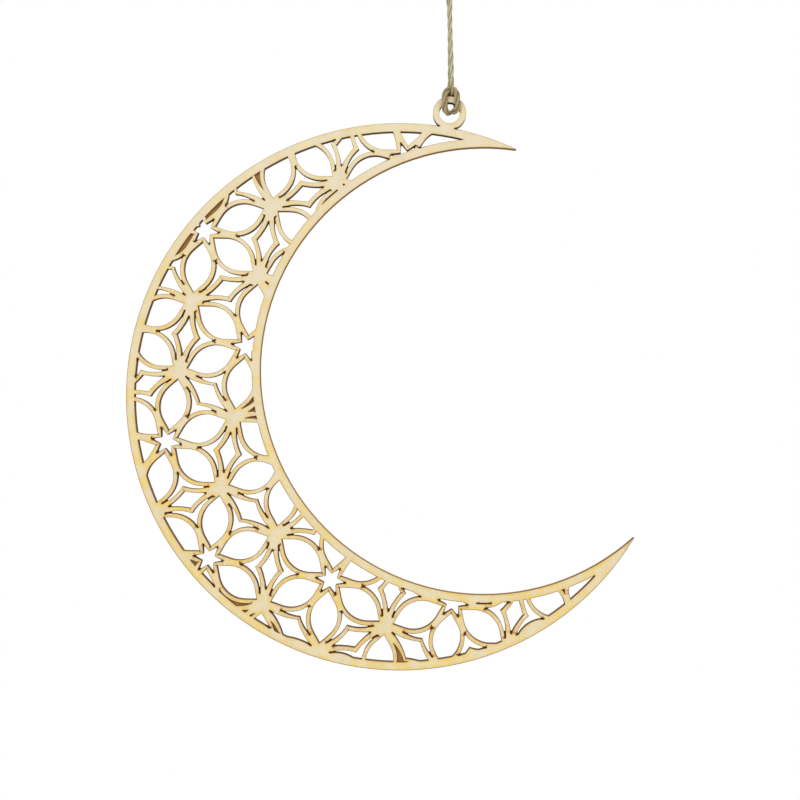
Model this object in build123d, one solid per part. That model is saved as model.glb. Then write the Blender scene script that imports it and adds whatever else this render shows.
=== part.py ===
from build123d import *
from math import atan2, cos, degrees, hypot, pi, radians, sin, sqrt, tan
import os

# Sizes in millimetres. X is to the right, Z is up, and the front looks along -Y.

# The crescent: two circles, the bay's centre to the right of and above the outer circle's
outer_radius = 93.0
bay_radius = 76.05
bay_right = 28.8
bay_up = 8.66
horn_rounding = 0.05

# The plywood: three plies
face_ply = 0.8
core_ply = 1.4

# The plain border round the fretwork
outer_border = 2.88
bay_border = 2.85

# The hanging ring at the top of the outer edge
ring_hole = 7.1
ring_width = 2.12
ring_sink = 0.68
ring_angle = 79.83

# The fretwork's cell: stars and hubs on a triangular net
cell = 24.38
cell_angle = 19.92
star_right = -51.98
star_up = 16.8

# The openings of one cell
star_tip = 5.1
star_notch = 2.28
petal_from_star = 3.9
petal_from_hub = 2.78
petal_width = 9.25
petal_roundness = 0.833
band = 1.42
diamond_from_hub = 5.4
diamond_width = 6.0
diamond_hollow = 0.23
corner_band = 1.87
slot_from_hub = 3.3
slot_hollow = 0.78

# The diamonds of one of the three directions are longer and wider, with shorter slots beside them
long_from_hub = 3.05
long_width = 7.4
long_hollow = 0.55
long_band = 1.25
short_from_hub = 5.0
short_hollow = 0.48

# Openings that the border leaves smaller than this aren't cut
least_opening = 0.15
least_slit = 0.07

# One diamond tip that only just meets the bay's border is pierced as a small round hole
pierced_width = 0.62
pierced_right = -18.77
pierced_up = 72.0

# The twine, its hitch on the ring, its eye for a hook and its knot
twine = 1.6
twine_gap = 0.15
ring_gap = 0.25
hook_height = 54.5
hitch_shift = 0.45
split_height = 12.0
lead_right = 0.3
lead_back = 0.96
leg_right = 2.15
eye_half = 2.1
knot_height = 6.6
knot_width = 5.8
tail_length = 7.0

# Sizes that follow from those above
panel = 2 * face_ply + core_ply
ring_inner = ring_hole / 2
ring_outer = ring_inner + ring_width
ring_reach = outer_radius + ring_outer - ring_sink
ring_right = ring_reach * cos(radians(ring_angle))
ring_up = ring_reach * sin(radians(ring_angle))

# The origin is the hook's bearing point, straight above the ring
crescent_place = Pos(-ring_right, -hook_height - ring_up)

os.makedirs("parts", exist_ok=True)


def polar(radius, angle):
    return (radius * cos(radians(angle)), radius * sin(radians(angle)))


# One petal between a star and a hub: two straight ends and a round crown on each side
petal_half = (cell - petal_from_star - petal_from_hub) / 2
petal_middle = petal_from_star + petal_half
petal_rise = petal_width / 2
full_arc = (petal_half ** 2 + petal_rise ** 2) / (2 * petal_rise)
petal_radius = petal_roundness * full_arc
petal_low = petal_rise - petal_radius
tip_run = sqrt(petal_half ** 2 + petal_low ** 2 - petal_radius ** 2)
tip_angle = atan2(petal_low, petal_half) + atan2(petal_radius, tip_run)
tip_right = petal_half - tip_run * cos(tip_angle)
tip_up = tip_run * sin(tip_angle)


def petal_face():
    near = (petal_from_star, 0)
    far = (cell - petal_from_hub, 0)
    sides = []
    for side in (1, -1):
        left = (petal_middle - tip_right, side * tip_up)
        right = (petal_middle + tip_right, side * tip_up)
        crown = (petal_middle, side * petal_rise)
        sides.append(Line(near, left))
        sides.append(ThreePointArc(left, crown, right))
        sides.append(Line(right, far))
    return Face(Wire(sides))


# The six-pointed star at the middle of a rosette
def star_face():
    points = []
    for turn in range(6):
        points.append(polar(star_notch, 60 * turn))
        points.append(polar(star_tip, 60 * turn + 30))
    return Face(Wire.make_polygon(points, close=True))


# The hollow-sided diamond between two hubs, about its own middle, long way up
def hollow_arc(start, end, depth):
    run = hypot(end[0] - start[0], end[1] - start[1])
    middle_x = (start[0] + end[0]) / 2 - depth * (end[1] - start[1]) / run
    middle_y = (start[1] + end[1]) / 2 + depth * (end[0] - start[0]) / run
    return ThreePointArc(start, (middle_x, middle_y), end)


def diamond_face(from_hub, width, hollow):
    half = cell / 2 - from_hub
    corners = [(0, half), (-width / 2, 0), (0, -half), (width / 2, 0)]
    sides = []
    for turn in range(4):
        sides.append(hollow_arc(corners[turn], corners[(turn + 1) % 4], hollow))
    return Face(Wire(sides))


# The three-cornered slot between two petals and a diamond, about the line of the diamond's middle
slot_radius = petal_radius + band
middle_angle = radians(30)
along = petal_middle * cos(middle_angle) + petal_low * sin(middle_angle)
slot_start = along + sqrt(max(along ** 2 - petal_middle ** 2 - petal_low ** 2 + slot_radius ** 2, 0))
diamond_away = cell * cos(middle_angle)


def slot_face(from_hub, slot_corner, hollow):
    start = (slot_start * cos(middle_angle), slot_start * sin(middle_angle))
    start_angle = atan2(start[0] - petal_middle, start[1] - petal_low)
    half_angle = (start_angle + tip_angle) / 2
    half_x = petal_middle + slot_radius * sin(half_angle)
    half_y = petal_low + slot_radius * cos(half_angle)
    run_x = petal_middle + slot_radius * sin(tip_angle)
    run_y = petal_low + slot_radius * cos(tip_angle)
    tip_x = cell - from_hub
    tip_y = run_y - (tip_x - run_x) * tan(tip_angle)
    corner = (slot_corner * cos(middle_angle), slot_corner * sin(middle_angle))
    lower = ThreePointArc(start, (half_x, half_y), (run_x, run_y))
    edge = Line((run_x, run_y), (tip_x, tip_y))
    inner = hollow_arc((tip_x, tip_y), corner, -hollow)
    across = Plane(origin=(0, 0, 0), z_dir=(-sin(middle_angle), cos(middle_angle), 0))
    sides = [lower, edge, inner]
    sides = sides + [side.mirror(across) for side in sides]
    return Face(Wire(sides))


# Every opening of the fretwork, clipped by the border
field = Circle(outer_radius - outer_border) - Pos(bay_right, bay_up) * Circle(bay_radius + bay_border)
petal = petal_face()
star = star_face()
diamond = diamond_face(diamond_from_hub, diamond_width, diamond_hollow)
long_diamond = diamond_face(long_from_hub, long_width, long_hollow)
slot = slot_face(slot_from_hub, diamond_away - diamond_width / 2 - corner_band, slot_hollow)
short_slot = slot_face(short_from_hub, diamond_away - long_width / 2 - long_band, short_hollow)
row_step = polar(cell * sqrt(3), cell_angle - 30)
column_step = polar(cell * sqrt(3), cell_angle + 90)
reach = int(2 * outer_radius / cell) + 2


def clip(shape):
    box = shape.center()
    from_middle = hypot(box.X, box.Y)
    from_bay = hypot(box.X - bay_right, box.Y - bay_up)
    if from_middle > outer_radius + cell / 2 or from_bay < bay_radius - cell / 2:
        return []
    kept = []
    for piece in (Sketch() + shape & field).faces():
        edge_run = sum(edge.length for edge in piece.edges())
        if piece.area > least_opening and piece.area / edge_run > least_slit:
            kept.append(piece)
    return kept


openings = []
for row in range(-reach, reach + 1):
    for column in range(-reach, reach + 1):
        place_x = star_right + row * row_step[0] + column * column_step[0]
        place_y = star_up + row * row_step[1] + column * column_step[1]
        if hypot(place_x, place_y) > outer_radius + cell:
            continue
        if hypot(place_x - bay_right, place_y - bay_up) < bay_radius - cell:
            continue
        place = Pos(place_x, place_y) * Rot(0, 0, cell_angle)
        openings += clip(place * star)
        for turn in range(6):
            spoke = place * Rot(0, 0, 60 * turn)
            openings += clip(spoke * petal)
            openings += clip(spoke * (short_slot if turn % 3 == 0 else slot))
            if turn < 3:
                middle = polar(diamond_away, 30)
                across = spoke * Pos(middle[0], middle[1]) * Rot(0, 0, 30)
                openings += clip(across * (long_diamond if turn == 0 else diamond))
openings += clip((Pos(pierced_right, pierced_up) * Circle(pierced_width / 2)).face())
print("openings in the fretwork:", len(openings))

# The panel's outline: crescent with rounded horns, and the ring on its outer edge
outline = Circle(outer_radius) - Pos(bay_right, bay_up) * Circle(bay_radius)
outline = fillet(outline.vertices(), horn_rounding)
outline = outline + Pos(ring_right, ring_up) * Circle(ring_outer)
outline = outline - Pos(ring_right, ring_up) * Circle(ring_inner)
whole = outline.faces()[0]
holes = [opening.outer_wire() for opening in openings]
sheet = crescent_place * Face(whole.outer_wire(), list(whole.inner_wires()) + holes)


def ply(low, high):
    return extrude(Plane.XZ.offset(low) * sheet, high - low)


back_veneer = ply(-panel / 2, -core_ply / 2)
core_veneer = ply(-core_ply / 2, core_ply / 2)
front_veneer = ply(core_ply / 2, panel / 2)
print("panel area, cm2:", round(sheet.area / 100, 2))


# A length of twine: straight runs joined by arcs as large as the runs allow
def cord_path(points):
    places = [Vector(*point) for point in points]
    radii = []
    for index in range(1, len(places) - 1):
        before = places[index] - places[index - 1]
        after = places[index + 1] - places[index]
        turn = radians(before.get_angle(after))
        radii.append(0.45 * min(before.length, after.length) / tan(turn / 2))
    return FilletPolyline(*places, radius=radii), radii


def cord_tube(name, points):
    path, radii = cord_path(points)
    section = Plane(origin=path @ 0, z_dir=path % 0) * Circle(twine / 2)
    tube = sweep(section, path=path)
    plain = pi * (twine / 2) ** 2 * path.length
    print(name, "length", round(path.length, 2), "least radius", round(min(radii), 2))
    print(name, "volume", round(tube.volume, 2), "section times length", round(plain, 2))
    return tube, path


# The hitch: each half comes down behind the ring's bar, passes under it to the front,
# rises in front of it and goes over its top, round the back of the two strands
ring_z = -hook_height
split_z = ring_z + split_height
bar_z = ring_z + ring_outer
front_y = -(panel / 2 + twine / 2 + ring_gap)
back_y = panel / 2 + twine / 2 + ring_gap
beside = twine / 2 + twine_gap


def hitch_half(sign, sag):
    route = [
        (lead_right, sign * lead_back, split_z),
        (lead_right, sign * lead_back, split_z - 1.4),
        (0.7, back_y - 0.35 + sign * 0.78, bar_z + 1.85),
        (beside + 0.1, back_y + 0.1, bar_z + 0.2),
        (1.7, back_y + 0.15, ring_z + ring_inner - 0.6),
        (1.8, back_y - 0.6, ring_z + 0.6 + sag),
        (beside + 0.15, 0, ring_z - 0.6 + sag),
        (leg_right - 0.3, front_y + 0.7, ring_z + 0.3 + sag),
        (leg_right, front_y - 0.1, ring_z + 2.1 + sag),
        (leg_right, front_y - 0.08, bar_z - 0.1),
        (leg_right, front_y + 0.7, bar_z + 1.3),
        (leg_right + 0.25, 0.6 + sign * 0.3, bar_z + 2.0),
        (leg_right + 0.35, back_y + 0.3 + sign * 0.45, bar_z + 2.15),
        (1.15, back_y + 2.25 + sign * 0.3, bar_z + 2.3),
    ]
    return [(hitch_shift - sign * right, back, up) for right, back, up in route]


hitch_route = hitch_half(1, 0) + list(reversed(hitch_half(-1, 0.3)))
hitch, hitch_path = cord_tube("hitch", hitch_route)

# The two strands: nearly one behind the other, then apart round the eye and into the knot
knot_z = hook_height + ring_z + 3.5


def strand_route(sign):
    return [
        (hitch_shift - sign * lead_right, sign * lead_back, split_z),
        (hitch_shift - sign * lead_right, sign * lead_back, split_z + 4),
        (0.27 - sign * 0.13, sign * (lead_back + 0.04), split_z + 12),
        (0.13 - sign * 0.06, sign * lead_back, split_z + 20),
        (-sign * 0.3, sign * (lead_back - 0.02), split_z + 28.5),
        (-sign * (eye_half - 0.35), sign * 0.45, knot_z - 11),
        (-sign * eye_half, sign * 0.1, knot_z - 6.5),
        (-sign * (eye_half - 0.6), 0, knot_z - 3.5),
        (-sign * beside, 0, knot_z - 1.5),
        (-sign * beside, 0, knot_z),
    ]


left_strand, left_path = cord_tube("left_strand", strand_route(1))
right_strand, right_path = cord_tube("right_strand", strand_route(-1))

# The knot that closes the loop, and its two tails
knot_top = knot_z + knot_height
knot_line = Line((0, knot_top), (0, knot_z)) + Line((0, knot_z), (knot_width * 0.36, knot_z))
knot_bulge = ThreePointArc(
    (knot_width * 0.36, knot_z), (knot_width / 2, knot_z + 0.48 * knot_height), (knot_width * 0.34, knot_top)
)
knot_line = knot_line + knot_bulge + Line((knot_width * 0.34, knot_top), (0, knot_top))
knot_ball = revolve(Plane.XZ * make_face(knot_line), Axis.Z)


def tail_route(sign, back, spread):
    return [
        (-sign * beside, 0, knot_top - 1.0),
        (-sign * beside, 0, knot_top + 0.8),
        (-sign * (beside + 0.4 * spread), 0.6 * back, knot_top + 0.45 * tail_length),
        (-sign * (beside + spread), back, knot_top + 0.75 * tail_length),
    ]


left_tail, left_tail_path = cord_tube("left_tail", tail_route(1, -0.5, 1.0))
right_tail, right_tail_path = cord_tube("right_tail", tail_route(-1, 0.6, 1.3))
end_knot = knot_ball + left_tail + right_tail
print("end_knot solids:", len(end_knot.solids()))


# The least gap of the hitch to itself, and to the ring's bar, measured on points of its path
def path_points(path, step):
    count = int(path.length / step)
    return [path @ (index / count) for index in range(count + 1)]


spots = path_points(hitch_path, 0.25)
own_gap = min(
    (spots[one] - spots[two]).length
    for one in range(len(spots))
    for two in range(one + 20, len(spots))
)
bar_gap = min(
    hypot(
        max(ring_inner - hypot(spot.X, spot.Z - ring_z), hypot(spot.X, spot.Z - ring_z) - ring_outer, 0),
        max(abs(spot.Y) - panel / 2, 0),
    )
    for spot in spots
)
print("hitch to itself, mm:", round(own_gap - twine, 3), " hitch to ring, mm:", round(bar_gap - twine / 2, 3))
strand_gap = min(
    (one - two).length for one in path_points(left_path, 0.5) for two in path_points(right_path, 0.5)
)
print("strand to strand, mm:", round(strand_gap - twine, 3))

nodes = {
    "front_veneer": front_veneer,
    "core_veneer": core_veneer,
    "back_veneer": back_veneer,
    "hitch": hitch,
    "left_strand": left_strand,
    "right_strand": right_strand,
    "end_knot": end_knot,
}
for name, solid in nodes.items():
    export_step(solid, "parts/" + name + ".step")
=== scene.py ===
import math
import random

import bmesh
import bpy
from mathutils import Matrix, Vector, geometry, kdtree
from mathutils.bvhtree import BVHTree


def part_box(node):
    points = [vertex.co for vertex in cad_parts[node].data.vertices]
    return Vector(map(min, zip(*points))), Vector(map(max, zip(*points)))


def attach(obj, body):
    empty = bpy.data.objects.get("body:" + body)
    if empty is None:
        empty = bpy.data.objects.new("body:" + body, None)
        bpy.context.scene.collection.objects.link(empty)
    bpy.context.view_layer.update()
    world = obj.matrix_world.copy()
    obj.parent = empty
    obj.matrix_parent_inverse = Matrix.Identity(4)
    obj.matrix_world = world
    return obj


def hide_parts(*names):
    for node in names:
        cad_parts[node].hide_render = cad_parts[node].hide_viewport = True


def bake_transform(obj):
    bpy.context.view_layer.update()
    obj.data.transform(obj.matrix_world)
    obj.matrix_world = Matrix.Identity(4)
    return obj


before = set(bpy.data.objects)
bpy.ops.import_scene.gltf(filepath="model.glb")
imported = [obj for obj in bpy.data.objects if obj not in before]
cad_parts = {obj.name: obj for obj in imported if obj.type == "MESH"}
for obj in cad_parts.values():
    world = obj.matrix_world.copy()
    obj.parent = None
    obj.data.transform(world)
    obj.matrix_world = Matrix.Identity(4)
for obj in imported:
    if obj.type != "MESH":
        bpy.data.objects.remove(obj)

MM = 0.001
FULL_TURN = 2 * math.pi
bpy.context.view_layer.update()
shed = random.Random(11)
world = bpy.context.scene.world or bpy.data.worlds.new("studio")
bpy.context.scene.world = world
bpy.context.scene.view_settings.view_transform = "Standard"


def put_in_scene(name, data):
    """A new object in the scene, for a mesh, a curve, a camera or a lamp."""
    made = bpy.data.objects.new(name, data)
    bpy.context.scene.collection.objects.link(made)
    return made


# The camera, nearly square to the panel and a little to its right
view_middle = Vector((-0.016914, -0.0015, -0.152401))
view_distance = 0.497
view_width = 0.271733
view_pitch = math.radians(1.2)
view_turn = math.radians(1.0)
sensor_width = 36.0
lens = bpy.data.cameras.new("photo_view")
lens.sensor_fit = "HORIZONTAL"
lens.sensor_width = sensor_width
lens.lens = sensor_width * view_distance / view_width
camera = put_in_scene("photo_view", lens)
level = math.cos(view_pitch)
look = Vector((-math.sin(view_turn) * level, math.cos(view_turn) * level, math.sin(view_pitch)))
camera.location = view_middle - look * view_distance
camera.rotation_euler = (math.radians(90) + view_pitch, 0, view_turn)
bpy.context.scene.camera = camera


# Shader maths: a node's output that can be added and multiplied, and the nodes it belongs to
class Tone:
    def __init__(self, finish, socket):
        self.finish = finish
        self.socket = socket

    def __add__(self, other):
        return self.finish.maths("ADD", self, other)

    def __radd__(self, other):
        return self.finish.maths("ADD", other, self)

    def __sub__(self, other):
        return self.finish.maths("SUBTRACT", self, other)

    def __rsub__(self, other):
        return self.finish.maths("SUBTRACT", other, self)

    def __mul__(self, other):
        return self.finish.maths("MULTIPLY", self, other)

    def __truediv__(self, other):
        return self.finish.maths("DIVIDE", self, other)


class Finish:
    """The nodes of a material or of the world. Every method adds to them and gives the result."""

    def __init__(self, tree):
        self.tree = tree
        self.tree.nodes.clear()

    def node(self, kind, settings, sockets, output=0):
        """One node, with its settings and inputs. The output goes by name or number."""
        made = self.tree.nodes.new(kind)
        for name, value in settings.items():
            setattr(made, name, value)
        for name, value in sockets.items():
            if isinstance(value, Tone):
                self.tree.links.new(value.socket, made.inputs[name])
            else:
                made.inputs[name].default_value = value
        return Tone(self, made.outputs[output]) if made.outputs else None

    def maths(self, kind, first, second):
        return self.node("ShaderNodeMath", {"operation": kind}, {0: first, 1: second})

    def place(self):
        """The spot on the piece, in metres."""
        return self.node("ShaderNodeTexCoord", {}, {}, "Object")

    def height(self, place):
        return self.node("ShaderNodeSeparateXYZ", {}, {"Vector": place}, "Z")

    def kept(self, name, output="Fac"):
        """A value that the mesh keeps on its points."""
        return self.node("ShaderNodeAttribute", {"attribute_name": name}, {}, output)

    def ramp(self, value, stops):
        """A colour that runs from stop to stop as the value grows."""
        colour = self.node("ShaderNodeValToRGB", {}, {"Fac": value})
        elements = colour.socket.node.color_ramp.elements
        while len(elements) < len(stops):
            elements.new(1.0)
        for element, (position, stop_colour) in zip(elements, stops):
            element.position = position
            element.color = stop_colour
        return colour

    def mix(self, amount, first, second, how="MIX"):
        """Two colours mixed. The node's colour sockets have to go by number."""
        settings = {"data_type": "RGBA", "blend_type": how, "clamp_factor": True}
        return self.node("ShaderNodeMix", settings, {0: amount, 6: first, 7: second}, 2)

    def noise(self, place, scale, detail, rough):
        sockets = {"Vector": place, "Scale": scale, "Detail": detail, "Roughness": rough}
        return self.node("ShaderNodeTexNoise", {"noise_dimensions": "3D"}, sockets)

    def marks(self, place, each_way, detail, rough):
        """Noise with a scale of its own along each axis."""
        sockets = {"Vector": place, "Scale": each_way}
        stretched = self.node("ShaderNodeMapping", {"vector_type": "POINT"}, sockets)
        return self.noise(stretched, 1.0, detail, rough)

    def between(self, value, low, high):
        """0 up to low, 1 from high on, and even between the two."""
        return self.node("ShaderNodeMapRange", {"clamp": True}, {0: value, 1: low, 2: high})


def paint(red, green, blue):
    """A colour for a socket, from its values of 0 to 255 on a screen."""
    channels = []
    for value in (red, green, blue):
        part = value / 255
        channels.append(part / 12.92 if part <= 0.04045 else ((part + 0.055) / 1.055) ** 2.4)
    return (*channels, 1.0)


def new_finish(name):
    material = bpy.data.materials.new(name)
    material.use_nodes = True
    return material, Finish(material.node_tree)


def close_finish(finish, colour, rough, relief, depth, strength, sheen=0.0):
    """The surface of a material: its colour, its roughness and a fine relief, depth in metres."""
    sockets = {"Strength": strength, "Distance": depth, "Height": relief}
    normal = finish.node("ShaderNodeBump", {}, sockets)
    body = {"Base Color": colour, "Roughness": rough, "Normal": normal, "Specular IOR Level": 0.25}
    if sheen:
        body["Sheen Weight"] = sheen
        body["Sheen Roughness"] = 0.6
    surface = finish.node("ShaderNodeBsdfPrincipled", {}, body)
    finish.node("ShaderNodeOutputMaterial", {}, {"Surface": surface})


def bare_birch(name, clean):
    """A sanded birch face: pale along the grain, golden where the laser's heat and smoke passed."""
    material, finish = new_finish(name)
    place = finish.place()
    height = finish.height(place)
    above_middle = height + 0.15
    near = finish.kept("cut_near")
    tip = finish.kept("slot_end")
    fibre = finish.marks(place, (2600.0, 2600.0, 95.0), 5.0, 0.6)
    figure = finish.marks(place, (190.0, 190.0, 14.0), 3.0, 0.5)
    cloud = finish.marks(place, (75.0, 75.0, 75.0), 3.0, 0.55)
    flare = finish.marks(place, (240.0, 240.0, 240.0), 3.0, 0.6)
    pore = finish.marks(place, (5200.0, 5200.0, 420.0), 2.0, 0.5)

    # Smoke: warm by the cuts and low on the panel, under the grain and its dark pores
    wander = near + (cloud - 0.5) * 2.2 + above_middle * 9.0
    smoke = finish.ramp(wander * clean / 4.0 + 0.1, [
        (0.0, paint(230, 208, 150)), (0.2, paint(233, 215, 164)), (0.35, paint(233, 217, 174)),
        (0.55, paint(232, 219, 187)), (0.8, paint(232, 221, 196))])
    grain = finish.ramp(fibre * 0.5 + figure * 0.5, [
        (0.3, paint(242, 238, 230)), (0.5, paint(250, 249, 246)), (0.7, paint(255, 255, 255))])
    wood = finish.mix(1.0, smoke, grain, "MULTIPLY")
    flecks = finish.between(pore, 0.66, 0.78) * 0.14
    wood = finish.mix(flecks, wood, paint(198, 172, 126))

    # Heat: golden flares on the narrow bands, more of them low on the panel, and pale patches
    reach = 0.25 + finish.between(height, -0.075, -0.165) * 0.75
    singe = (1 - finish.between(near, 0.3, 0.95)) * finish.between(cloud, 0.42, 0.62) * reach
    wood = finish.mix(singe * 0.4, wood, paint(233, 207, 137))
    golden = finish.between(flare, 0.48, 0.62) * (1 - finish.between(near, 0.55, 1.4)) * reach
    wood = finish.mix(golden * 0.95, wood, paint(235, 202, 108))
    pale = 1 - finish.between(flare, 0.38, 0.5)
    wood = finish.mix(pale * 0.7, wood, paint(229, 215, 184))

    # Char and painted shade: a thin char line along every cut, and painted shade that darkens and
    # widens it at the sharp ends of the slots
    char_and_tip_shade = near - tip * 0.3
    char_and_shade_tone = finish.ramp(char_and_tip_shade / 0.6 + 0.35, [
        (0.0, paint(34, 18, 8)), (0.35, paint(88, 54, 24)), (0.5, paint(142, 98, 48)),
        (0.68, paint(200, 162, 98)), (1.0, paint(227, 203, 146))])
    edge = 1 - finish.between(char_and_tip_shade + above_middle * 1.2, 0.05, 0.36)
    toned = finish.mix(edge, wood, char_and_shade_tone)
    relief = fibre * 0.7 + pore * 0.3
    close_finish(finish, toned, 0.62 + fibre * 0.12, relief, depth=0.00006, strength=0.3)
    return material


def cut_char_and_plug_shade(name, deep, light):
    """A laser-cut wall, and the painted shade that closes slits and slot ends: brown to black in
    fine streaks across the plies, paler round the rim.
    """
    material, finish = new_finish(name)
    place = finish.place()
    streak = finish.marks(place, (3600.0, 260.0, 3600.0), 4.0, 0.6)
    patch = finish.marks(place, (240.0, 240.0, 240.0), 3.0, 0.5)
    colour = finish.ramp(streak * 0.6 + patch * 0.4, [(0.3, deep), (0.52, light), (0.75, deep)])
    quick = finish.kept("quick_cut")
    colour = finish.mix(quick * 0.5, colour, paint(164, 124, 60))
    close_finish(finish, colour, 0.7 + streak * 0.2, streak, depth=0.00008, strength=0.5)
    return material


def jute(name):
    """Jute: long fibres along each ply, pale and dark side by side, painted shade in the grooves
    between plies, browner in the hitch.
    """
    material, finish = new_finish(name)
    lay = finish.kept("fibre_lay", "Vector")
    depth = finish.kept("ply_depth")
    thread = finish.noise(lay, 3.2, 4.0, 0.62)
    slub = finish.noise(lay, 0.7, 2.0, 0.5)
    colour = finish.ramp(thread * 0.7 + slub * 0.3, [
        (0.3, paint(120, 110, 72)), (0.45, paint(182, 173, 134)),
        (0.58, paint(217, 210, 176)), (0.72, paint(240, 234, 206))])
    # Painted shade: darker where the surface lies deep between the plies
    groove_shade = 1 - finish.between(depth, 0.45, 0.82)
    colour = finish.mix(groove_shade * 0.85, colour, paint(100, 88, 54))
    in_hitch = 1 - finish.between(finish.height(finish.place()), -0.0465, -0.0435)
    colour = finish.mix(in_hitch, colour, paint(222, 208, 186), "MULTIPLY")
    close_finish(finish, colour, 0.8 + thread * 0.1, thread, depth=0.0001, strength=0.6, sheen=0.15)
    return material


face_front = bare_birch("bare_birch_front", 1.0)
face_back = bare_birch("bare_birch_back", 0.8)
char_face = cut_char_and_plug_shade("charred_face_ply", paint(78, 44, 18), paint(146, 94, 46))
# Char on the core ply's walls, and painted shade in the solids at the slots' sharp ends
core_char_and_tip_shade = cut_char_and_plug_shade("charred_core_ply_and_tip_shade", paint(28, 15, 7), paint(66, 38, 18))
# Painted shade: the brown solids that close the finest slits
slit_shade = cut_char_and_plug_shade("painted_slit_shade", paint(122, 84, 50), paint(172, 128, 82))
jute_finish = jute("jute_fibre")


# The plywood panel: each ply rebuilt over its CAD node with points close to every cut, in mm
decimals = 4
same_spot = 1e-6
flatness = 0.001
crease = math.radians(28)
mark_gap = 0.12
shortest_cut = 0.02
row_gap = 0.7
row_inset = 0.3
row_clear = 0.26
field_gap = 1.0
field_rise = 0.866
field_clear = 0.62
far_from_cut = 6.0


def cut_face(node):
    """A ply's flat face: its points as (x, z), its triangles, and the edges along its cuts."""
    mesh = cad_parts[node].data
    low = min(v.co.y for v in mesh.vertices)
    mesh.calc_loop_triangles()
    index = {}
    points = []
    triangles = []
    for triangle in mesh.loop_triangles:
        corners = [mesh.vertices[i].co for i in triangle.vertices]
        if max(c.y for c in corners) - low > flatness * MM:
            continue
        row = []
        for corner in corners:
            key = (round(corner.x / MM, decimals), round(corner.z / MM, decimals))
            if key not in index:
                index[key] = len(points)
                points.append(key)
            row.append(index[key])
        if len(set(row)) == 3:
            triangles.append(row)
    sides = {}
    for a, b, c in triangles:
        for pair in ((a, b), (b, c), (c, a)):
            key = (min(pair), max(pair))
            sides[key] = sides.get(key, 0) + 1
    return points, triangles, [pair for pair, count in sides.items() if count == 1]


def spot_tree(spots):
    """A tree that finds the nearest of many spots on the panel."""
    tree = kdtree.KDTree(len(spots))
    for number, spot in enumerate(spots):
        tree.insert((spot.x, spot.y, 0), number)
    tree.balance()
    return tree


def distance_to(tree, x, z):
    return tree.find((x, z, 0))[2]


outline, plain_face, cut_edges = cut_face("front_veneer")
flat = BVHTree.FromPolygons([Vector((x, z, 0)) for x, z in outline], plain_face)
cut_marks = []
for a, b in cut_edges:
    start, end = Vector(outline[a]), Vector(outline[b])
    steps = max(1, math.ceil((end - start).length / mark_gap))
    cut_marks += [start.lerp(end, step / steps) for step in range(steps)]
cut_tree = spot_tree(cut_marks)


def in_wood(x, z):
    return flat.ray_cast(Vector((x, z, 1)), Vector((0, 0, -1)))[0] is not None


def face_points():
    """Points inside the face: one row beside every cut, and a field of points over the rest."""
    inside = []
    for a, b in cut_edges:
        start, end = Vector(outline[a]), Vector(outline[b])
        run = end - start
        if run.length < shortest_cut:
            continue
        side = Vector((-run.y, run.x)).normalized()
        steps = max(1, round(run.length / row_gap))
        for step in range(steps):
            middle = start + run * ((step + 0.5) / steps)
            for inset in (row_inset, -row_inset):
                x, z = middle + side * inset
                if in_wood(x, z) and distance_to(cut_tree, x, z) > row_clear:
                    inside.append((x, z))
    low_x, high_x = min(p[0] for p in outline), max(p[0] for p in outline)
    low_z, high_z = min(p[1] for p in outline), max(p[1] for p in outline)
    row = 0
    z = low_z
    while z < high_z:
        x = low_x + (row % 2) * field_gap / 2
        while x < high_x:
            if in_wood(x, z) and distance_to(cut_tree, x, z) > field_clear:
                inside.append((x, z))
            x += field_gap
        z += field_gap * field_rise
        row += 1
    return inside


fine_spots = [Vector(p) for p in outline + face_points()]
spots, _, triangles = geometry.delaunay_2d_cdt(fine_spots, cut_edges, [], 0, same_spot)[:3]
fine_points = [(p.x, p.y) for p in spots]
fine_face = []
for corners in triangles:
    x = sum(fine_points[i][0] for i in corners) / 3
    z = sum(fine_points[i][1] for i in corners) / 3
    if in_wood(x, z):
        fine_face.append(list(corners))
fine_index = {}
for number, (x, z) in enumerate(fine_points):
    fine_index[(round(x, decimals), round(z, decimals))] = number
fine_near = [min(distance_to(cut_tree, x, z), far_from_cut) for x, z in fine_points]
for p in outline:
    fine_near[fine_index[p]] = 0.0


# Painted shade: dark solids between the face plies close the finest slits, a few listed slits that
# look dark, and the slots' sharp ends
slit_least, slit_most = 0.2, 0.6
shaded_slits = [(-65, -78), (-17, -238), (-80, -87), (-90, -99)]
shaded_slit_reach = 3
corner_reach = 0.25
sharpest = math.radians(50)
tip_step = 0.1
tip_steps = 30
tip_gap = 0.55
end_reach = 1.3
shade_plug_depth = 0.65


def cut_loops():
    """The cut edges joined end to end into closed loops of the outline's points."""
    beside = {}
    for a, b in cut_edges:
        beside.setdefault(a, []).append(b)
        beside.setdefault(b, []).append(a)
    left = set(beside)
    loops = []
    while left:
        loop = []
        onward = [min(left)]
        while onward:
            loop.append(onward[0])
            left.discard(onward[0])
            onward = [other for other in beside[onward[0]] if other in left]
        loops.append(loop)
    return loops


def along(loop, start, way, distance):
    """The spot a distance from one of a loop's corners, one way or the other along it."""
    here = start
    while True:
        after = (here + way) % len(loop)
        run = (loop[after] - loop[here]).length
        if run >= distance or after == start:
            return loop[here].lerp(loop[after], min(1.0, distance / max(run, 1e-9)))
        distance -= run
        here = after


def is_slit(loop):
    """Whether a whole loop is closed with painted shade, for its mean width or as one of the listed
    dark slits.
    """
    ends = list(zip(loop, loop[1:] + loop[:1]))
    area = abs(sum(a.x * b.y - b.x * a.y for a, b in ends)) / 2
    width = 2 * area / sum((b - a).length for a, b in ends)
    middle = sum(loop, Vector((0, 0))) / len(loop)
    if any((middle - Vector(place)).length < shaded_slit_reach for place in shaded_slits):
        return True
    return slit_least < width < slit_most


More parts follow.
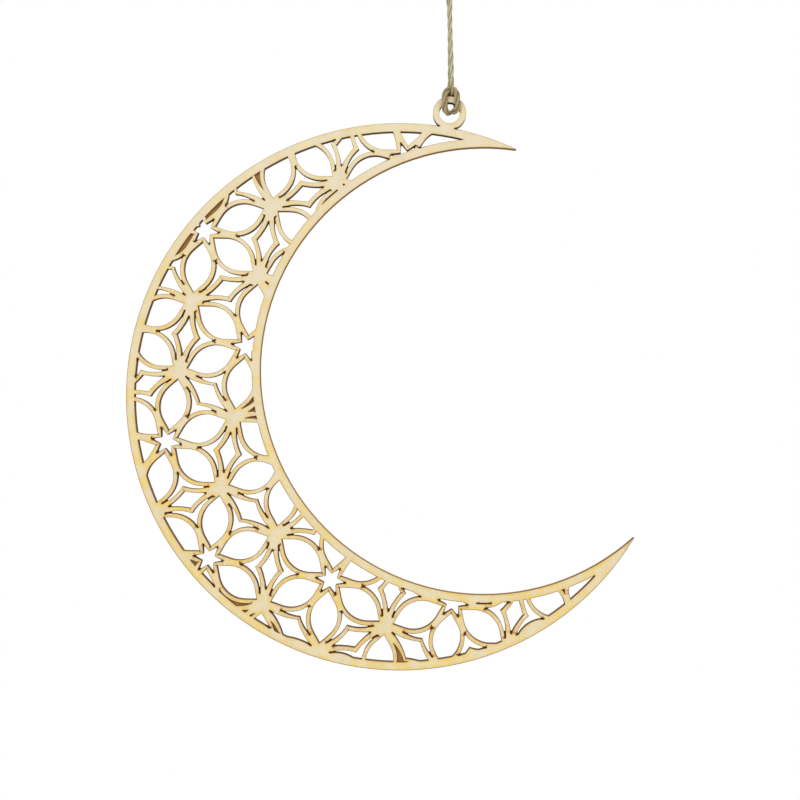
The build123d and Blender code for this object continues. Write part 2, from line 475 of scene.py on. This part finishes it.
def closed_tip(loop, number):
    """The outline of a slot's sharp end, from its corner to where it opens; empty if blunt."""
    corner = loop[number]
    before, after = (along(loop, number, way, corner_reach) for way in (-1, 1))
    chord = (before + after) / 2
    if (before - corner).angle(after - corner, math.pi) > sharpest or in_wood(chord.x, chord.y):
        return []
    one, two = [corner], []
    for step in range(1, tip_steps):
        before, after = (along(loop, number, way, step * tip_step) for way in (-1, 1))
        if (before - after).length > tip_gap:
            break
        one.append(before)
        two.append(after)
    return one + two[::-1] if len(two) > 1 else []


loops = cut_loops()
leftmost = min(range(len(outline)), key=lambda number: outline[number][0])
rim_loop = set(next(loop for loop in loops if leftmost in loop))
quick_cut = [1.0 if number in rim_loop else 0.0 for number in range(len(outline))]
tips, slits = [], []
for numbers in loops:
    loop = [Vector(outline[i]) for i in numbers]
    if is_slit(loop):
        slits.append(loop)
    else:
        ends = [closed_tip(loop, number) for number in range(len(loop))]
        tips += [tip for tip in ends if tip]
end_tree = spot_tree([tip[0] for tip in tips])
fine_end = [max(0.0, 1 - distance_to(end_tree, x, z) / end_reach) for x, z in fine_points]


def add_shade_plug(points, faces, ring):
    """Adds painted shade in a narrow place, a closed solid between the face plies."""
    first = len(points)
    count = len(ring)
    for depth in (-shade_plug_depth, shade_plug_depth):
        points.extend((spot.x * MM, depth * MM, spot.y * MM) for spot in ring)
    faces.append([first + i for i in range(count)])
    faces.append([first + count + i for i in reversed(range(count))])
    for i in range(count):
        after = (i + 1) % count
        faces.append([first + i, first + after, first + count + after, first + count + i])


def keep(mesh, name, values):
    """Keeps a value on each of a mesh's points, and 0 on any after those."""
    values = values + [0.0] * (len(mesh.vertices) - len(values))
    mesh.attributes.new(name, "FLOAT", "POINT").data.foreach_set("value", values)


def dress_ply(name, node, show, finishes):
    """One ply as a closed piece: show is -1 or 1 for the face that is seen, 0 for the core."""
    low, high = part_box(node)
    seen_y, other_y = (low.y, high.y) if show < 1 else (high.y, low.y)
    points = [(x * MM, seen_y, z * MM) for x, z in (fine_points if show else outline)]
    faces = [list(f) for f in (fine_face if show else plain_face)]
    seen_faces = len(faces)
    rim = [fine_index[p] for p in outline] if show else list(range(len(outline)))
    first = len(points)
    points += [(x * MM, other_y, z * MM) for x, z in outline]
    faces += [[rim[a], rim[b], first + b, first + a] for a, b in cut_edges]
    wall_faces = len(faces)
    faces += [[first + i for i in f] for f in plain_face]
    # Painted shade: near-black solids in the slots' sharp ends
    for ring in ([] if show else tips):
        add_shade_plug(points, faces, ring)
    plain_faces = len(faces)
    # Painted shade: solids that close the finest slits
    for ring in ([] if show else slits):
        add_shade_plug(points, faces, ring)
    mesh = bpy.data.meshes.new(name)
    mesh.from_pydata(points, [], faces)
    pace = [0.0] * len(points)
    for number, quick in enumerate(quick_cut):
        pace[rim[number]] = quick
        pace[first + number] = quick
    keep(mesh, "cut_near", fine_near if show else [])
    keep(mesh, "slot_end", fine_end if show else [])
    keep(mesh, "quick_cut", pace)
    for finish in finishes:
        mesh.materials.append(finish)
    for number, polygon in enumerate(mesh.polygons):
        polygon.material_index = 0 if number < seen_faces else 1 if number < plain_faces else 2
        polygon.use_smooth = seen_faces <= number < wall_faces
    work = bmesh.new()
    work.from_mesh(mesh)
    bmesh.ops.recalc_face_normals(work, faces=work.faces)
    work.to_mesh(mesh)
    work.free()
    mesh.set_sharp_from_angle(angle=crease)
    piece = put_in_scene(name, mesh)
    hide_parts(node)
    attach(piece, "crescent")
    return piece


dress_ply("front_face_ply", "front_veneer", -1, [face_front, char_face])
dress_ply("core_cross_ply", "core_veneer", 0, [core_char_and_tip_shade, core_char_and_tip_shade, slit_shade])
dress_ply("back_face_ply", "back_veneer", 1, [face_back, char_face])


# The twine, in mm: each length follows a smooth line through its route, as three twisted plies
plies = 3
ply_radius = 0.47
ply_offset = 0.40
ply_pitch = 12.5
ply_sides = 12
pulled = 0.89
slack = 0.31
snug = 0.3
uneven = 0.04
uneven_pace = 1.7
fray_length = 2.5
fibre_sides = 3
fibre_steps = 5
fibre_root = 0.72
fibre_thick = 0.03
fibre_taper = 0.7
fibre_curl = 0.5
fibre_clear = 4
fibre_depth = 0.85

# Where a spot lies among the fibres, for the finish: round its ply or stray fibre, and along it
ply_lay = 2.2
ply_lay_turn = 1.1
ply_lay_shift = 3
fibre_lay = 1.5
lay_pace = 0.42


def smooth_line(points):
    """The points along a smooth spline that has the route as its control points."""
    data = bpy.data.curves.new("route", "CURVE")
    data.dimensions = "3D"
    data.resolution_u = 11
    spline = data.splines.new("NURBS")
    spline.points.add(len(points) - 1)
    for point, place in zip(spline.points, points):
        point.co = (*[part * MM for part in place], 1.0)
    spline.order_u = 3
    spline.use_endpoint_u = True
    holder = put_in_scene("route", data)
    bpy.context.view_layer.update()
    mesh = bpy.data.meshes.new_from_object(holder)
    line = [v.co / MM for v in mesh.vertices]
    bpy.data.objects.remove(holder)
    bpy.data.curves.remove(data)
    bpy.data.meshes.remove(mesh)
    return line


def side_frames(line, first_side):
    """Along a line: how far it has run, the place, its direction, and a side that turns with it."""
    frames = []
    run = 0.0
    side = first_side
    for number, place in enumerate(line):
        before = line[max(number - 1, 0)]
        after = line[min(number + 1, len(line) - 1)]
        ahead = (after - before).normalized()
        side = (side - ahead * side.dot(ahead)).normalized()
        if number:
            run += (place - line[number - 1]).length
        frames.append((run, place, ahead, side))
    return frames


def turned(ahead, side, angle):
    """A side turned about the line's direction."""
    return side * math.cos(angle) + ahead.cross(side) * math.sin(angle)


def last_side(frames):
    """The side that the first ply has reached at the end of a length, where the next one starts."""
    run, place, ahead, side = frames[-1]
    return turned(ahead, side, FULL_TURN * run / ply_pitch)


def wobble(run, seed):
    """An uneven wave along a length, another one for each seed."""
    middling = math.sin(run * 1.9 + seed) * 0.5
    quick = math.sin(run * 4.7 + seed * 2.3) * 0.3
    slow = math.sin(run * 0.6 + seed * 5.1) * 0.4
    return middling + quick + slow


class TwineMesh:
    """Plies and stray fibres gathered into one mesh, with the fibre lay kept on its points."""

    def __init__(self):
        self.points = []
        self.faces = []
        self.lay = []
        self.depth = []

    def skin(self, start, sides, closed_start):
        """The faces of a tube, round the rings of points that were added since start."""
        last = len(self.points) - sides
        for ring in range(start, last, sides):
            for corner in range(sides):
                a = ring + corner
                b = ring + (corner + 1) % sides
                self.faces.append((a, b, b + sides, a + sides))
        if closed_start:
            self.faces.append(tuple(start + corner for corner in reversed(range(sides))))
        self.faces.append(tuple(last + corner for corner in range(sides)))

    def ply(self, frames, turn, full, open_end):
        """One ply: full gives its size at a share of the way, open_end how far its end parts."""
        total = frames[-1][0]
        start = len(self.points)
        for run, place, ahead, side in frames:
            angle = turn + FULL_TURN * run / ply_pitch
            part = max(0.0, run - total + fray_length) / fray_length
            size = full(run / total)
            offset = (ply_offset + open_end * part * part) * size
            radius = ply_radius * size * (1 + uneven * wobble(run, turn))
            middle = place + turned(ahead, side, angle) * offset
            for corner in range(ply_sides):
                bend = FULL_TURN * corner / ply_sides
                bulge = wobble(run * uneven_pace + corner * uneven_pace, turn + corner)
                swell = radius * (1 + uneven * bulge)
                spot = middle + turned(ahead, side, bend + angle) * swell
                spin = bend + run * ply_lay_turn
                self.points.append(spot * MM)
                self.lay.append((ply_lay * math.cos(spin), ply_lay * math.sin(spin),
                                 run * lay_pace + turn * ply_lay_shift))
                self.depth.append((spot - place).length / size)
        self.skin(start, ply_sides, True)

    def fibre(self, frames, reach, long):
        """A stray fibre that leaves the twine at a slant."""
        number = shed.randrange(fibre_clear, len(frames) - fibre_clear)
        run, place, ahead, side = frames[number]
        out = turned(ahead, side, shed.uniform(0, FULL_TURN))
        along = ahead * shed.choice((-1, 1))
        curl = ahead.cross(out) * shed.uniform(-fibre_curl, fibre_curl)
        start = len(self.points)
        for step in range(fibre_steps + 1):
            part = step / fibre_steps
            middle = place + out * (fibre_root + reach * part * part) + along * long * part
            middle = middle + curl * part * part
            thick = fibre_thick * (1 - fibre_taper * part)
            for corner in range(fibre_sides):
                bend = FULL_TURN * corner / fibre_sides
                spot = middle + out * thick * math.cos(bend)
                spot = spot + out.cross(along) * thick * math.sin(bend)
                self.points.append(spot * MM)
                self.lay.append((fibre_lay * math.cos(bend), fibre_lay * math.sin(bend),
                                 run * lay_pace + part))
                self.depth.append(fibre_depth)
        self.skin(start, fibre_sides, False)

    def lay_twine(self, frames, full, hairs, reaches, lengths, open_end=0.0):
        """A length: its plies, and stray fibres between the least and most of reach and length."""
        for number in range(plies):
            self.ply(frames, FULL_TURN * number / plies, full, open_end)
        for _ in range(hairs):
            self.fibre(frames, shed.uniform(*reaches), shed.uniform(*lengths))

    def piece(self, name):
        mesh = bpy.data.meshes.new(name)
        mesh.from_pydata(self.points, [], self.faces)
        mesh.attributes.new("fibre_lay", "FLOAT_VECTOR", "POINT").data.foreach_set(
            "vector", [part for lay in self.lay for part in lay])
        keep(mesh, "ply_depth", self.depth)
        mesh.materials.append(jute_finish)
        for polygon in mesh.polygons:
            polygon.use_smooth = True
        mesh.update()
        made = put_in_scene(name, mesh)
        return made


def twisted(name, line, first_side, full, hairs):
    frames = side_frames(line, first_side)
    gathered = TwineMesh()
    gathered.lay_twine(frames, full, hairs, (0.2, 0.6), (0.8, 2.2))
    return gathered.piece(name), frames


def slack_in_hitch(share):
    """The twine is pulled thin at both ends of the hitch and opens out round the ring."""
    return pulled + slack * min(1.0, 5.0 * share, 5.0 * (1 - share))


def pulled_thin(share):
    """The strands are pulled thin all the way."""
    return pulled


left_start = (0.15, 0.96, -42.5)
right_start = (0.75, -0.96, -42.5)
knot_half = 0.95
knot_foot = 3.5
left_half = [
    left_start, (0.15, 0.96, -43.9), (0.05, 0.15, -46.0), (-0.1, 0.05, -48.1),
    (-0.6, 3.3, -47.65), (-1.4, 3.2, -50.5), (-1.5, 2.5, -53.0), (-0.35, 1.0, -54.1),
    (-0.3, -0.9, -54.4), (-1.5, -2.2, -54.2), (-1.8, -2.75, -52.0), (-1.75, -2.7, -49.4),
    (-1.35, -2.2, -47.5), (-0.55, -0.5, -46.1), (-0.6, 2.5, -46.2), (-0.25, 4.1, -46.4),
]
right_half = [
    right_start, (0.75, -0.96, -43.9), (0.9, -0.75, -45.8), (1.05, -0.9, -48.15),
    (1.5, 3.2, -47.6), (2.3, 3.2, -50.4), (2.35, 2.6, -52.6), (1.25, 1.0, -53.7),
    (1.2, -0.9, -54.05), (2.4, -2.2, -53.8), (2.7, -2.75, -51.8), (2.65, -2.7, -49.4),
    (2.25, -2.2, -47.5), (1.45, -0.5, -46.1), (1.5, 2.5, -46.2), (1.15, 4.1, -46.4),
]
left_leg = [
    left_start, (0.15, 0.96, -38.5), (0.14, 1.0, -30.5), (0.07, 0.96, -22.5), (-0.3, 0.94, -14.0),
    (-1.75, 0.45, -7.5), (-2.1, 0.1, -3.0), (-1.5, 0, 0), (-knot_half, 0, 2.0),
    (-knot_half, 0, knot_foot),
]
right_leg = [
    right_start, (0.75, -0.96, -38.5), (0.40, -1.0, -30.5), (0.19, -0.96, -22.5),
    (0.3, -0.94, -14.0), (1.75, -0.45, -7.5), (2.1, -0.1, -3.0), (1.5, 0, 0),
    (knot_half, 0, 2.0), (knot_half, 0, knot_foot),
]
hitch_line = smooth_line(left_half + list(reversed(right_half)))
left_line = smooth_line(left_leg)
right_line = smooth_line(right_leg)

right_way = Vector((1, 0, 0))
hitch_twine, hitch_frames = twisted("hitch_twine", hitch_line, right_way, slack_in_hitch, 14)
left_twine, left_frames = twisted("left_twine", left_line, right_way, pulled_thin, 10)
meeting = last_side(hitch_frames)
right_twine, right_frames = twisted("right_twine", right_line, meeting, pulled_thin, 10)

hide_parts("hitch")
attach(hitch_twine, "hitch")
for strand, node in ((left_twine, "left_strand"), (right_twine, "right_strand")):
    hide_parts(node)
    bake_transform(strand)


# The knot: the two strands climb round each other in close coils and leave as short tails
coil_radius = 1.75
coil_foot = 4.1
coil_rise = 0.53
coil_steps = 8


def snug_in_knot(share):
    """The twine opens out in the knot's coils and is pulled thin before and after them."""
    return pulled + snug * max(0.0, min(1.0, 8.0 * share, 6.0 * (0.8 - share)))


def knot_route(sign, tail):
    """One strand through the knot, six steps to a turn: 1 for the left strand, -1 for the right."""
    route = [(-sign * knot_half, 0, knot_foot), (-sign * 1.0, -sign * 0.1, 4.0)]
    for step in range(1, coil_steps + 1):
        angle = math.pi + math.pi * step / 3
        route.append((sign * coil_radius * math.cos(angle), sign * coil_radius * math.sin(angle),
                      coil_foot + coil_rise * step))
    return route + [(sign * 1.1, 0, 9.3)] + tail


knot_mesh = TwineMesh()
left_tail = [(-knot_half, 0, 10.9), (-1.35, -0.3, 13.25), (-1.95, -0.5, 15.3)]
right_tail = [(knot_half, 0, 10.9), (1.47, 0.36, 13.25), (2.25, 0.6, 15.3)]
for sign, tail, strand_frames in ((1, right_tail, left_frames), (-1, left_tail, right_frames)):
    frames = side_frames(smooth_line(knot_route(sign, tail)), last_side(strand_frames))
    knot_mesh.lay_twine(frames, snug_in_knot, 16, (0.15, 0.5), (0.6, 1.6), open_end=0.22)
knot_twine = knot_mesh.piece("end_knot_twine")
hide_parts("end_knot")
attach(knot_twine, "cord")


# A pale round floor under the ornament, a white surround, and soft light from all round
floor_sides = 96
floor_radius = 0.37
floor_middle = (-0.02, -0.40)
floor_rim = []
for number in range(floor_sides):
    angle = FULL_TURN * number / floor_sides
    floor_rim.append((floor_radius * math.cos(angle) + floor_middle[0],
                      floor_radius * math.sin(angle), floor_middle[1]))
floor_mesh = bpy.data.meshes.new("floor")
floor_mesh.from_pydata(floor_rim, [], [tuple(range(floor_sides))])
floor = put_in_scene("floor", floor_mesh)
floor_material, floor_finish = new_finish("pale_floor")
floor_body = {"Base Color": paint(240, 240, 238), "Roughness": 0.9}
floor_surface = floor_finish.node("ShaderNodeBsdfPrincipled", {}, floor_body)
floor_finish.node("ShaderNodeOutputMaterial", {}, {"Surface": floor_surface})
floor_mesh.materials.append(floor_material)

world.use_nodes = True
sky = Finish(world.node_tree)
seen, mirrored, passed = (
    sky.node("ShaderNodeLightPath", {}, {}, f"Is {kind} Ray")
    for kind in ("Camera", "Glossy", "Transmission"))
seen = sky.maths("MAXIMUM", sky.maths("MAXIMUM", seen, mirrored), passed)
soft, white = (
    sky.node("ShaderNodeBackground", {}, {"Color": (1.0, 1.0, 1.0, 1.0), "Strength": strength})
    for strength in (0.44, 1.0))
both = sky.node("ShaderNodeMixShader", {}, {0: seen, 1: soft, 2: white})
sky.node("ShaderNodeOutputWorld", {}, {"Surface": both})


panel_middle = Vector((-0.02, 0, -0.13))


def soft_lamp(name, place, size, power):
    """A round lamp that shines on the middle of the panel."""
    data = bpy.data.lights.new(name, "AREA")
    data.shape = "DISK"
    data.size = size
    data.energy = power
    lamp = put_in_scene(name, data)
    lamp.location = place
    lamp.rotation_euler = (panel_middle - Vector(place)).to_track_quat("-Z", "Y").to_euler()


soft_lamp("key_light", (-0.55, -1.1, 0.45), 0.8, 8.8)
soft_lamp("fill_light", (0.8, -1.0, 0.1), 0.9, 4.8)
soft_lamp("rear_light", (0.3, 1.2, 0.5), 0.9, 7.2)
